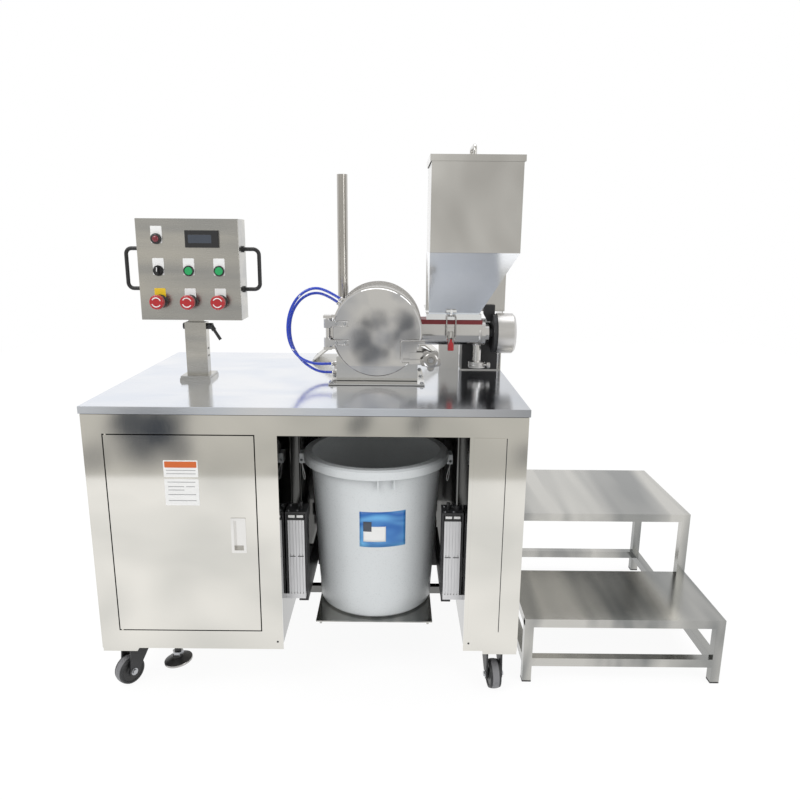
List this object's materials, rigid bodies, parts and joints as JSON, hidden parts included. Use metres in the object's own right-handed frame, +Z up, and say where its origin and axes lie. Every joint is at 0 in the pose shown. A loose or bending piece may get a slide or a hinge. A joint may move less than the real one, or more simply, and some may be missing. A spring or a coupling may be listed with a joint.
{
  "type": "powder pulverizer",
  "caption": "Stainless pulverizer on a wheeled cabinet: hopper, screw feeder, hammer mill with round door, tilting panel, bucket on a lift and a loose step.",
  "frame": {"origin": "centre of the overall footprint, machine and step together, on the floor", "axes": "+X to the right seen from the front, +Y to the back, +Z up; the cabinet door, panel and mill door face -Y"},
  "size_m": [1.696, 0.824, 1.467],
  "materials": {
    "brushed": "brushed",
    "polished": "polished",
    "cast": "satin cast stainless",
    "alu": "satin",
    "black_paint": "satin",
    "black_plastic": "matt",
    "red_plastic": "glossy",
    "green_plastic": "glossy",
    "bucket_plastic": "satin",
    "gasket": "matt",
    "seal": "matt",
    "hose": "glossy",
    "tread": "matt",
    "zinc": "zinc plated"
  },
  "bodies": {
    "base": {"left_cabinet": "brushed", "right_cabinet": "brushed", "top_frame": "brushed", "tabletop": "polished", "caster_plates": "zinc", "mill_saddle": "polished", "mill_drum": "polished", "mill_liner": "cast", "bearing_housing": "cast", "mill_motor": "black_paint", "motor_stand": "brushed", "exhaust_pipe": "polished", "discharge_hood": "polished", "feed_trough": "brushed", "feed_gearbox": "black_paint", "hopper_gasket": "gasket", "hopper": "polished", "hopper_column": "brushed", "panel_post": "brushed", "lift_cylinders": "alu", "cooling_hose_a": "hose", "cooling_hose_b": "hose"},
    "cabinet_door": {"cabinet_door": "brushed", "door_pull": "black_plastic"},
    "mill_door": {"mill_door": "polished", "mill_door_seal": "seal"},
    "star_knob": {"star_knob": "cast"},
    "rotor": {"rotor": "cast"},
    "feed_screw": {"feed_screw": "alu", "drive_drum": "alu"},
    "hopper_lid": {"hopper_lid": "polished"},
    "latch_lever": {"latch_lever": "zinc"},
    "latch_bail": {"latch_bail": "zinc"},
    "lift": {"lift_rods": "zinc", "lift_frame": "black_paint", "lift_platform": "polished"},
    "bucket": {"bucket": "bucket_plastic"},
    "panel": {"panel_box": "brushed", "panel_handles": "black_plastic", "panel_fittings": "black_plastic"},
    "clamp_lever": {"clamp_lever": "black_plastic"},
    "selector": {"selector_knob": "black_plastic"},
    "start_a": {"start_button_a": "green_plastic"},
    "start_b": {"start_button_b": "green_plastic"},
    "stop_left": {"stop_button_left": "red_plastic"},
    "stop_middle": {"stop_button_middle": "red_plastic"},
    "stop_right": {"stop_button_right": "red_plastic"},
    "steps": {"steps": "brushed"},
    "fork_front_left": {"caster_fork_front_left": "zinc"},
    "wheel_front_left": {"caster_wheel_front_left": "tread"},
    "fork_front_right": {"caster_fork_front_right": "zinc"},
    "wheel_front_right": {"caster_wheel_front_right": "tread"},
    "fork_rear_left": {"caster_fork_rear_left": "zinc"},
    "wheel_rear_left": {"caster_wheel_rear_left": "tread"},
    "fork_rear_right": {"caster_fork_rear_right": "zinc"},
    "wheel_rear_right": {"caster_wheel_rear_right": "tread"},
    "foot_front_left": {"leveling_foot_front_left": "black_plastic"},
    "foot_front_right": {"leveling_foot_front_right": "black_plastic"},
    "foot_rear_left": {"leveling_foot_rear_left": "black_plastic"},
    "foot_rear_right": {"leveling_foot_rear_right": "black_plastic"}
  },
  "joints": [
    {"name": "cabinet_door_hinge", "type": "hinge", "parent": "base", "child": "cabinet_door", "pos_m": [-0.789, -0.405, 0.475], "axis": [0, 0, -1], "range_deg": [0, 110]},
    {"name": "mill_door_hinge", "type": "hinge", "parent": "base", "child": "mill_door", "pos_m": [-0.263, -0.118, 0.961], "axis": [0, 0, -1], "range_deg": [0, 120]},
    {"name": "star_knob_turn", "type": "hinge", "parent": "mill_door", "child": "star_knob", "pos_m": [0.024, -0.139, 0.89], "axis": [0, 1, 0], "continuous": true},
    {"name": "rotor_spin", "type": "hinge", "parent": "base", "child": "rotor", "pos_m": [-0.126, -0.009, 0.961], "axis": [0, 1, 0], "continuous": true},
    {"name": "feed_screw_spin", "type": "hinge", "parent": "base", "child": "feed_screw", "pos_m": [0.205, 0.041, 0.941], "axis": [1, 0, 0], "continuous": true},
    {"name": "hopper_lid_hinge", "type": "hinge", "parent": "base", "child": "hopper_lid", "pos_m": [0.138, 0.088, 1.42], "axis": [-1, 0, 0], "range_deg": [0, 100]},
    {"name": "latch_lever_hinge", "type": "hinge", "parent": "base", "child": "latch_lever", "pos_m": [0.089, -0.007, 0.943], "axis": [-1, 0, 0], "range_deg": [0, 90]},
    {"name": "latch_bail_hinge", "type": "hinge", "parent": "latch_lever", "child": "latch_bail", "pos_m": [0.089, -0.013, 0.933], "axis": [1, 0, 0], "range_deg": [0, 120]},
    {"name": "lift_slide", "type": "slide", "parent": "base", "child": "lift", "axis": [0, 0, 1], "range_m": [0, 0.09]},
    {"name": "bucket_slide", "type": "slide", "parent": "lift", "child": "bucket", "axis": [0, -1, 0], "range_m": [0, 0.55]},
    {"name": "panel_tilt", "type": "hinge", "parent": "base", "child": "panel", "pos_m": [-0.647, -0.05, 0.967], "axis": [-1, 0, 0], "range_deg": [-20, 30]},
    {"name": "clamp_lever_turn", "type": "hinge", "parent": "base", "child": "clamp_lever", "pos_m": [-0.647, -0.05, 0.967], "axis": [1, 0, 0], "range_deg": [-45, 45]},
    {"name": "selector_turn", "type": "hinge", "parent": "panel", "child": "selector", "pos_m": [-0.731, -0.094, 1.125], "axis": [0, 1, 0], "range_deg": [-45, 45]},
    {"name": "start_a_press", "type": "slide", "parent": "panel", "child": "start_a", "axis": [0, 1, 0], "range_m": [0, 0.003], "stiffness_N_per_m": 400},
    {"name": "start_b_press", "type": "slide", "parent": "panel", "child": "start_b", "axis": [0, 1, 0], "range_m": [0, 0.003], "stiffness_N_per_m": 400},
    {"name": "stop_left_press", "type": "slide", "parent": "panel", "child": "stop_left", "axis": [0, 1, 0], "range_m": [0, 0.004], "stiffness_N_per_m": 600},
    {"name": "stop_middle_press", "type": "slide", "parent": "panel", "child": "stop_middle", "axis": [0, 1, 0], "range_m": [0, 0.004], "stiffness_N_per_m": 600},
    {"name": "stop_right_press", "type": "slide", "parent": "panel", "child": "stop_right", "axis": [0, 1, 0], "range_m": [0, 0.004], "stiffness_N_per_m": 600},
    {"name": "swivel_front_left", "type": "hinge", "parent": "base", "child": "fork_front_left", "pos_m": [-0.793, -0.309, 0.124], "axis": [0, 0, 1], "continuous": true},
    {"name": "roll_front_left", "type": "hinge", "parent": "fork_front_left", "child": "wheel_front_left", "pos_m": [-0.81021, -0.33357, 0.04], "axis": [0.8192, -0.5736, 0], "continuous": true},
    {"name": "swivel_front_right", "type": "hinge", "parent": "base", "child": "fork_front_right", "pos_m": [0.203, -0.309, 0.124], "axis": [0, 0, 1], "continuous": true},
    {"name": "roll_front_right", "type": "hinge", "parent": "fork_front_right", "child": "wheel_front_right", "pos_m": [0.20614, -0.33884, 0.04], "axis": [0.9945, 0.1045, 0], "continuous": true},
    {"name": "swivel_rear_left", "type": "hinge", "parent": "base", "child": "fork_rear_left", "pos_m": [-0.793, 0.309, 0.124], "axis": [0, 0, 1], "continuous": true},
    {"name": "roll_rear_left", "type": "hinge", "parent": "fork_rear_left", "child": "wheel_rear_left", "pos_m": [-0.778, 0.33498, 0.04], "axis": [-0.866, 0.5, 0], "continuous": true},
    {"name": "swivel_rear_right", "type": "hinge", "parent": "base", "child": "fork_rear_right", "pos_m": [0.203, 0.309, 0.124], "axis": [0, 0, 1], "continuous": true},
    {"name": "roll_rear_right", "type": "hinge", "parent": "fork_rear_right", "child": "wheel_rear_right", "pos_m": [0.19524, 0.33798, 0.04], "axis": [-0.9659, -0.2588, 0], "continuous": true},
    {"name": "foot_front_left_screw", "type": "slide", "parent": "base", "child": "foot_front_left", "axis": [0, 0, 1], "range_m": [-0.065, 0.004]},
    {"name": "foot_front_right_screw", "type": "slide", "parent": "base", "child": "foot_front_right", "axis": [0, 0, 1], "range_m": [-0.071, 0.004]},
    {"name": "foot_rear_left_screw", "type": "slide", "parent": "base", "child": "foot_rear_left", "axis": [0, 0, 1], "range_m": [-0.071, 0.004]},
    {"name": "foot_rear_right_screw", "type": "slide", "parent": "base", "child": "foot_rear_right", "axis": [0, 0, 1], "range_m": [-0.071, 0.004]},
    {"name": "steps_slide", "type": "slide", "parent": "base", "child": "steps", "axis": [1, 0, 0], "range_m": [0, 0.3]}
  ],
  "couplings": [
    {"joint": "latch_bail_hinge", "follows": "latch_lever_hinge", "ratio": 1.25}
  ]
}
